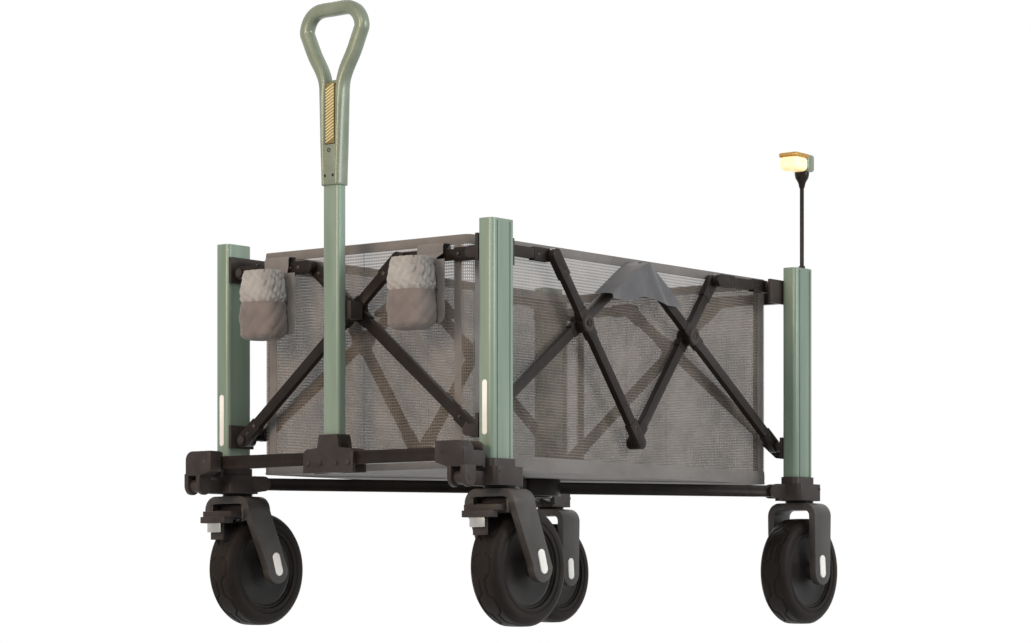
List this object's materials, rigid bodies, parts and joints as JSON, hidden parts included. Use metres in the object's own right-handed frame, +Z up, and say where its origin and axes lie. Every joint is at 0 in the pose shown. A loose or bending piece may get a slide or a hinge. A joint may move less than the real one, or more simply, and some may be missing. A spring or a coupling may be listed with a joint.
{
  "type": "folding camp wagon",
  "caption": "Folding wagon with a mesh tub slung between upright posts, scissor side bars, a fold-up base, swivel castors in front, fixed rear wheels and an upright pull handle.",
  "frame": {"origin": "on the ground under the middle of the wagon", "axes": "+X towards the rear, +Y towards the left side, +Z up; the handle is at -X"},
  "size_m": [1.012, 0.63, 0.945],
  "materials": {
    "tub_mesh": "woven see-through mesh with a grey hem",
    "pouch_cloth": "gathered matte cloth",
    "green_frame": "satin green anodised look",
    "green_grip": "satin green",
    "cream_insert": "ribbed",
    "wheel_rubber": "matte with moulded tread",
    "lamp_diffuser": "glowing diffuser in a green body",
    "dark_frame": "satin brown-black",
    "dark_plastic": "fine moulded grain"
  },
  "bodies": {
    "root": {"base_hub": "dark_plastic", "tub": "tub_mesh"},
    "base_arm_rear_right": {"base_arm_rear_right": "dark_frame"},
    "post_rear_right": {"post_rear_right": "green_frame", "corner_block_rear_right": "dark_plastic", "rear_fork_right": "dark_plastic"},
    "end_bar_rear_right": {"end_bar_rear_right": "dark_frame"},
    "end_link_rear_right": {"end_link_rear_right": "dark_frame"},
    "long_bar_rear_right": {"long_bar_rear_right": "dark_frame"},
    "steep_bar_rear_right": {"steep_bar_rear_right": "dark_frame"},
    "side_link_rear_right": {"side_link_rear_right": "dark_frame"},
    "base_arm_rear_left": {"base_arm_rear_left": "dark_frame"},
    "post_rear_left": {"post_rear_left": "green_frame", "corner_block_rear_left": "dark_plastic", "rear_fork_left": "dark_plastic"},
    "end_bar_rear_left": {"end_bar_rear_left": "dark_frame"},
    "end_link_rear_left": {"end_link_rear_left": "dark_frame"},
    "long_bar_rear_left": {"long_bar_rear_left": "dark_frame"},
    "steep_bar_rear_left": {"steep_bar_rear_left": "dark_frame"},
    "side_link_rear_left": {"side_link_rear_left": "dark_frame"},
    "base_arm_front_right": {"base_arm_front_right": "dark_frame"},
    "post_front_right": {"post_front_right": "green_frame", "corner_block_front_right": "dark_plastic"},
    "end_bar_front_right": {"end_bar_front_right": "dark_frame"},
    "end_link_front_right": {"end_link_front_right": "dark_frame"},
    "long_bar_front_right": {"long_bar_front_right": "dark_frame"},
    "steep_bar_front_right": {"steep_bar_front_right": "dark_frame"},
    "side_link_front_right": {"side_link_front_right": "dark_frame"},
    "base_arm_front_left": {"base_arm_front_left": "dark_frame"},
    "post_front_left": {"post_front_left": "green_frame", "corner_block_front_left": "dark_plastic"},
    "end_bar_front_left": {"end_bar_front_left": "dark_frame"},
    "end_link_front_left": {"end_link_front_left": "dark_frame"},
    "long_bar_front_left": {"long_bar_front_left": "dark_frame"},
    "steep_bar_front_left": {"steep_bar_front_left": "dark_frame"},
    "side_link_front_left": {"side_link_front_left": "dark_frame"},
    "castor_right": {"castor_fork_right": "dark_plastic"},
    "brake_pedal_right": {"brake_pedal_right": "dark_plastic"},
    "wheel_front_right": {"wheel_front_right": "wheel_rubber"},
    "wheel_rear_right": {"wheel_rear_right": "wheel_rubber"},
    "pouch_right": {"pouch_right": "pouch_cloth"},
    "castor_left": {"castor_fork_left": "dark_plastic"},
    "brake_pedal_left": {"brake_pedal_left": "dark_plastic"},
    "wheel_front_left": {"wheel_front_left": "wheel_rubber"},
    "wheel_rear_left": {"wheel_rear_left": "wheel_rubber"},
    "pouch_left": {"pouch_left": "pouch_cloth"},
    "yoke_lug_right": {"yoke_lug_right": "dark_plastic"},
    "yoke_lug_left": {"yoke_lug_left": "dark_plastic"},
    "yoke_link_right": {"yoke_link_right": "dark_frame"},
    "yoke_link_left": {"yoke_link_left": "dark_frame"},
    "handle": {"handle_bracket": "dark_plastic", "handle_tube": "green_frame", "grip": "green_grip", "grip_insert": "cream_insert"},
    "handle_clip": {"handle_clip": "dark_plastic"},
    "lamp": {"lamp_stem": "dark_frame", "lamp_head": "lamp_diffuser"}
  },
  "joints": [
    {"name": "fold", "type": "hinge", "parent": "root", "child": "base_arm_rear_right", "pos_m": [0.03696, -0.02388, 0.224], "axis": [0.5427, 0.8399, 0], "range_deg": [0, 66], "deforming": ["tub"]},
    {"name": "post_rear_right_hinge", "type": "hinge", "parent": "base_arm_rear_right", "child": "post_rear_right", "pos_m": [0.373, -0.241, 0.224], "axis": [0.5427, 0.8399, 0], "range_deg": [-66.5, 0]},
    {"name": "end_bar_rear_right_hinge", "type": "hinge", "parent": "post_rear_right", "child": "end_bar_rear_right", "pos_m": [0.414, -0.2274, 0.291], "axis": [1, 0, 0], "range_deg": [0, 31.4]},
    {"name": "end_link_rear_right_hinge", "type": "hinge", "parent": "post_rear_right", "child": "end_link_rear_right", "pos_m": [0.414, -0.232, 0.554], "axis": [1, 0, 0], "range_deg": [0, 63.63]},
    {"name": "long_bar_rear_right_hinge", "type": "hinge", "parent": "post_rear_right", "child": "long_bar_rear_right", "pos_m": [0.393, -0.231, 0.3], "axis": [0, 1, 0], "range_deg": [0, 32.19]},
    {"name": "steep_bar_rear_right_hinge", "type": "hinge", "parent": "long_bar_rear_right", "child": "steep_bar_rear_right", "pos_m": [0.14444, -0.218, 0.4695], "axis": [0, -1, 0], "range_deg": [0, 53.02]},
    {"name": "side_link_rear_right_hinge", "type": "hinge", "parent": "post_rear_right", "child": "side_link_rear_right", "pos_m": [0.361, -0.231, 0.568], "axis": [0, 1, 0], "range_deg": [0, 68.47]},
    {"name": "base_arm_rear_left_hinge", "type": "hinge", "parent": "root", "child": "base_arm_rear_left", "pos_m": [0.03696, 0.02388, 0.224], "axis": [-0.5427, 0.8399, 0], "range_deg": [0, 66.5]},
    {"name": "post_rear_left_hinge", "type": "hinge", "parent": "base_arm_rear_left", "child": "post_rear_left", "pos_m": [0.373, 0.241, 0.224], "axis": [-0.5427, 0.8399, 0], "range_deg": [-66.5, 0]},
    {"name": "end_bar_rear_left_hinge", "type": "hinge", "parent": "post_rear_left", "child": "end_bar_rear_left", "pos_m": [0.427, 0.2274, 0.291], "axis": [-1, 0, 0], "range_deg": [0, 31.4]},
    {"name": "end_link_rear_left_hinge", "type": "hinge", "parent": "post_rear_left", "child": "end_link_rear_left", "pos_m": [0.427, 0.232, 0.554], "axis": [-1, 0, 0], "range_deg": [0, 63.63]},
    {"name": "long_bar_rear_left_hinge", "type": "hinge", "parent": "post_rear_left", "child": "long_bar_rear_left", "pos_m": [0.393, 0.231, 0.3], "axis": [0, 1, 0], "range_deg": [0, 32.19]},
    {"name": "steep_bar_rear_left_hinge", "type": "hinge", "parent": "long_bar_rear_left", "child": "steep_bar_rear_left", "pos_m": [0.14444, 0.218, 0.4695], "axis": [0, -1, 0], "range_deg": [0, 53.02]},
    {"name": "side_link_rear_left_hinge", "type": "hinge", "parent": "post_rear_left", "child": "side_link_rear_left", "pos_m": [0.361, 0.231, 0.568], "axis": [0, 1, 0], "range_deg": [0, 68.47]},
    {"name": "base_arm_front_right_hinge", "type": "hinge", "parent": "root", "child": "base_arm_front_right", "pos_m": [-0.03696, -0.02388, 0.224], "axis": [0.5427, -0.8399, 0], "range_deg": [0, 66.5]},
    {"name": "post_front_right_hinge", "type": "hinge", "parent": "base_arm_front_right", "child": "post_front_right", "pos_m": [-0.373, -0.241, 0.224], "axis": [0.5427, -0.8399, 0], "range_deg": [-66.5, 0]},
    {"name": "end_bar_front_right_hinge", "type": "hinge", "parent": "post_front_right", "child": "end_bar_front_right", "pos_m": [-0.414, -0.2274, 0.291], "axis": [1, 0, 0], "range_deg": [0, 31.4]},
    {"name": "end_link_front_right_hinge", "type": "hinge", "parent": "post_front_right", "child": "end_link_front_right", "pos_m": [-0.414, -0.232, 0.554], "axis": [1, 0, 0], "range_deg": [0, 63.63]},
    {"name": "long_bar_front_right_hinge", "type": "hinge", "parent": "post_front_right", "child": "long_bar_front_right", "pos_m": [-0.393, -0.218, 0.3], "axis": [0, -1, 0], "range_deg": [0, 32.19]},
    {"name": "steep_bar_front_right_hinge", "type": "hinge", "parent": "long_bar_front_right", "child": "steep_bar_front_right", "pos_m": [-0.14444, -0.231, 0.4695], "axis": [0, 1, 0], "range_deg": [0, 53.02]},
    {"name": "side_link_front_right_hinge", "type": "hinge", "parent": "post_front_right", "child": "side_link_front_right", "pos_m": [-0.361, -0.218, 0.568], "axis": [0, -1, 0], "range_deg": [0, 68.47]},
    {"name": "base_arm_front_left_hinge", "type": "hinge", "parent": "root", "child": "base_arm_front_left", "pos_m": [-0.03696, 0.02388, 0.224], "axis": [-0.5427, -0.8399, 0], "range_deg": [0, 66.5]},
    {"name": "post_front_left_hinge", "type": "hinge", "parent": "base_arm_front_left", "child": "post_front_left", "pos_m": [-0.373, 0.241, 0.224], "axis": [-0.5427, -0.8399, 0], "range_deg": [-66.5, 0]},
    {"name": "end_bar_front_left_hinge", "type": "hinge", "parent": "post_front_left", "child": "end_bar_front_left", "pos_m": [-0.427, 0.2274, 0.291], "axis": [-1, 0, 0], "range_deg": [0, 31.4]},
    {"name": "end_link_front_left_hinge", "type": "hinge", "parent": "post_front_left", "child": "end_link_front_left", "pos_m": [-0.427, 0.232, 0.554], "axis": [-1, 0, 0], "range_deg": [0, 63.63]},
    {"name": "long_bar_front_left_hinge", "type": "hinge", "parent": "post_front_left", "child": "long_bar_front_left", "pos_m": [-0.393, 0.218, 0.3], "axis": [0, -1, 0], "range_deg": [0, 32.19]},
    {"name": "steep_bar_front_left_hinge", "type": "hinge", "parent": "long_bar_front_left", "child": "steep_bar_front_left", "pos_m": [-0.14444, 0.231, 0.4695], "axis": [0, 1, 0], "range_deg": [0, 53.02]},
    {"name": "side_link_front_left_hinge", "type": "hinge", "parent": "post_front_left", "child": "side_link_front_left", "pos_m": [-0.361, 0.218, 0.568], "axis": [0, -1, 0], "range_deg": [0, 68.47]},
    {"name": "castor_right_swivel", "type": "hinge", "parent": "post_front_right", "child": "castor_right", "pos_m": [-0.402, -0.265, 0.206], "axis": [0, 0, 1], "continuous": true},
    {"name": "brake_pedal_right_press", "type": "hinge", "parent": "castor_right", "child": "brake_pedal_right", "pos_m": [-0.42, -0.265, 0.175], "axis": [0, -1, 0], "range_deg": [0, 11]},
    {"name": "wheel_front_right_roll", "type": "hinge", "parent": "castor_right", "child": "wheel_front_right", "pos_m": [-0.358, -0.265, 0.089], "axis": [0, 1, 0], "continuous": true},
    {"name": "wheel_rear_right_roll", "type": "hinge", "parent": "post_rear_right", "child": "wheel_rear_right", "pos_m": [0.417, -0.265, 0.089], "axis": [0, 1, 0], "continuous": true},
    {"name": "pouch_right_hang", "type": "hinge", "parent": "end_link_front_right", "child": "pouch_right", "pos_m": [-0.467, -0.14936, 0.554], "axis": [-1, 0, 0], "range_deg": [0, 63.63]},
    {"name": "castor_left_swivel", "type": "hinge", "parent": "post_front_left", "child": "castor_left", "pos_m": [-0.402, 0.265, 0.206], "axis": [0, 0, 1], "continuous": true},
    {"name": "brake_pedal_left_press", "type": "hinge", "parent": "castor_left", "child": "brake_pedal_left", "pos_m": [-0.42, 0.265, 0.175], "axis": [0, -1, 0], "range_deg": [0, 11]},
    {"name": "wheel_front_left_roll", "type": "hinge", "parent": "castor_left", "child": "wheel_front_left", "pos_m": [-0.358, 0.265, 0.089], "axis": [0, 1, 0], "continuous": true},
    {"name": "wheel_rear_left_roll", "type": "hinge", "parent": "post_rear_left", "child": "wheel_rear_left", "pos_m": [0.417, 0.265, 0.089], "axis": [0, 1, 0], "continuous": true},
    {"name": "pouch_left_hang", "type": "hinge", "parent": "end_link_front_left", "child": "pouch_left", "pos_m": [-0.467, 0.14936, 0.554], "axis": [1, 0, 0], "range_deg": [0, 63.63]},
    {"name": "handle_tilt", "type": "hinge", "parent": "post_front_right", "child": "yoke_lug_right", "pos_m": [-0.492, -0.265, 0.218], "axis": [0, -1, 0], "range_deg": [0, 100]},
    {"name": "yoke_link_right_hinge", "type": "hinge", "parent": "yoke_lug_right", "child": "yoke_link_right", "pos_m": [-0.47, -0.26, 0.254], "axis": [1, 0, 0], "range_deg": [0, 65.35]},
    {"name": "handle_right_hinge", "type": "hinge", "parent": "yoke_link_right", "child": "handle", "pos_m": [-0.47, -0.036, 0.254], "axis": [-1, 0, 0], "range_deg": [0, 65.35]},
    {"name": "handle_left_hinge", "type": "hinge", "parent": "handle", "child": "yoke_link_left", "pos_m": [-0.47, 0.036, 0.254], "axis": [-1, 0, 0], "range_deg": [0, 65.35]},
    {"name": "yoke_link_left_hinge", "type": "hinge", "parent": "yoke_link_left", "child": "yoke_lug_left", "pos_m": [-0.47, 0.26, 0.254], "axis": [1, 0, 0], "range_deg": [0, 65.35]},
    {"name": "handle_clip_hinge", "type": "hinge", "parent": "end_bar_front_left", "child": "handle_clip", "pos_m": [-0.44, 0, 0.479], "axis": [1, 0, 0], "range_deg": [0, 31.4]},
    {"name": "lamp_lift", "type": "slide", "parent": "post_rear_right", "child": "lamp", "axis": [0, 0, 1], "range_m": [0, 0.06]}
  ],
  "couplings": [
    {"joint": "post_rear_right_hinge", "follows": "fold", "ratio": -1},
    {"joint": "end_bar_rear_right_hinge", "follows": "fold", "ratio": 0.46815},
    {"joint": "end_link_rear_right_hinge", "follows": "fold", "ratio": 0.9565},
    {"joint": "long_bar_rear_right_hinge", "follows": "fold", "ratio": 0.48011},
    {"joint": "steep_bar_rear_right_hinge", "follows": "fold", "ratio": 0.79572},
    {"joint": "side_link_rear_right_hinge", "follows": "fold", "ratio": 1.0298},
    {"joint": "base_arm_rear_left_hinge", "follows": "fold", "ratio": 1},
    {"joint": "post_rear_left_hinge", "follows": "fold", "ratio": -1},
    {"joint": "end_bar_rear_left_hinge", "follows": "fold", "ratio": 0.46815},
    {"joint": "end_link_rear_left_hinge", "follows": "fold", "ratio": 0.9565},
    {"joint": "long_bar_rear_left_hinge", "follows": "fold", "ratio": 0.48011},
    {"joint": "steep_bar_rear_left_hinge", "follows": "fold", "ratio": 0.79572},
    {"joint": "side_link_rear_left_hinge", "follows": "fold", "ratio": 1.0298},
    {"joint": "base_arm_front_right_hinge", "follows": "fold", "ratio": 1},
    {"joint": "post_front_right_hinge", "follows": "fold", "ratio": -1},
    {"joint": "end_bar_front_right_hinge", "follows": "fold", "ratio": 0.46815},
    {"joint": "end_link_front_right_hinge", "follows": "fold", "ratio": 0.9565},
    {"joint": "long_bar_front_right_hinge", "follows": "fold", "ratio": 0.48011},
    {"joint": "steep_bar_front_right_hinge", "follows": "fold", "ratio": 0.79572},
    {"joint": "side_link_front_right_hinge", "follows": "fold", "ratio": 1.0298},
    {"joint": "base_arm_front_left_hinge", "follows": "fold", "ratio": 1},
    {"joint": "post_front_left_hinge", "follows": "fold", "ratio": -1},
    {"joint": "end_bar_front_left_hinge", "follows": "fold", "ratio": 0.46815},
    {"joint": "end_link_front_left_hinge", "follows": "fold", "ratio": 0.9565},
    {"joint": "long_bar_front_left_hinge", "follows": "fold", "ratio": 0.48011},
    {"joint": "steep_bar_front_left_hinge", "follows": "fold", "ratio": 0.79572},
    {"joint": "side_link_front_left_hinge", "follows": "fold", "ratio": 1.0298},
    {"joint": "pouch_right_hang", "follows": "fold", "ratio": 0.9565},
    {"joint": "pouch_left_hang", "follows": "fold", "ratio": 0.9565},
    {"joint": "yoke_link_right_hinge", "follows": "fold", "ratio": 0.98261},
    {"joint": "handle_right_hinge", "follows": "fold", "ratio": 0.98261},
    {"joint": "handle_left_hinge", "follows": "fold", "ratio": 0.98261},
    {"joint": "yoke_link_left_hinge", "follows": "fold", "ratio": 0.98261},
    {"joint": "handle_clip_hinge", "follows": "fold", "ratio": 0.46815}
  ]
}
